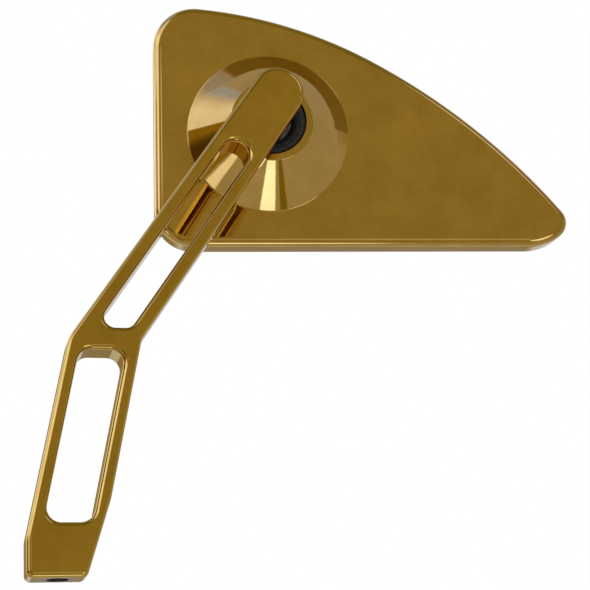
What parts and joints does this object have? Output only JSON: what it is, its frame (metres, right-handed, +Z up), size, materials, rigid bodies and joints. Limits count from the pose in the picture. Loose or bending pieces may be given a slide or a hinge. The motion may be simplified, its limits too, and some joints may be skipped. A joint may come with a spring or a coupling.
{
  "type": "motorcycle side mirror",
  "caption": "Billet motorcycle side mirror: a bent, slotted arm with a threaded foot carries a wing-shaped mirror head on a ball joint.",
  "frame": {"origin": "centre of the mounting hole's mouth, in the flat end of the arm's foot", "axes": "+Z up along the mounting hole, +X towards the mirror head's pointed end, +Y towards the glass, so -Y looks at the mirror's back"},
  "size_m": [0.2006, 0.0528, 0.2163],
  "materials": {
    "gold": "polished gold anodised",
    "steel": "plain steel",
    "ball_steel": "ground and polished",
    "blackened": "black oxide",
    "nylon": "black nylon",
    "rubber": "black rubber",
    "carrier": "black plastic sheet",
    "adhesive": "foam tape",
    "mirror": "silvered glass"
  },
  "bodies": {
    "stem": {"arm": "gold", "mount_insert": "steel", "pivot_insert": "steel"},
    "ball_stud": {"pivot_ball": "ball_steel", "pivot_spacer": "blackened", "pivot_washer": "steel", "pivot_screw": "blackened"},
    "socket_seats": {"front_seat": "nylon", "rear_seat": "nylon", "wiper_ring": "rubber"},
    "head": {"mirror_housing": "gold", "pressure_plate": "steel", "disc_springs": "steel", "tension_nut": "blackened", "nut_lock_screw": "blackened", "glass_carrier": "carrier", "carrier_screws": "blackened", "adhesive_pads": "adhesive", "mirror_glass": "mirror", "glass_gasket": "rubber"}
  },
  "joints": [
    {"name": "stud_turn", "type": "hinge", "parent": "stem", "child": "ball_stud", "pos_m": [0.07804, 0.01835, 0.16502], "axis": [0, 1, 0], "range_deg": [-90, 90]},
    {"name": "head_lean", "type": "hinge", "parent": "ball_stud", "child": "socket_seats", "pos_m": [0.07804, 0.01835, 0.16502], "axis": [0.6775, 0, -0.7355], "range_deg": [-18.5, 4.5]},
    {"name": "head_turn", "type": "hinge", "parent": "socket_seats", "child": "head", "pos_m": [0.07804, 0.01835, 0.16502], "axis": [0.1386, 0.9821, 0.1277], "continuous": true}
  ]
}
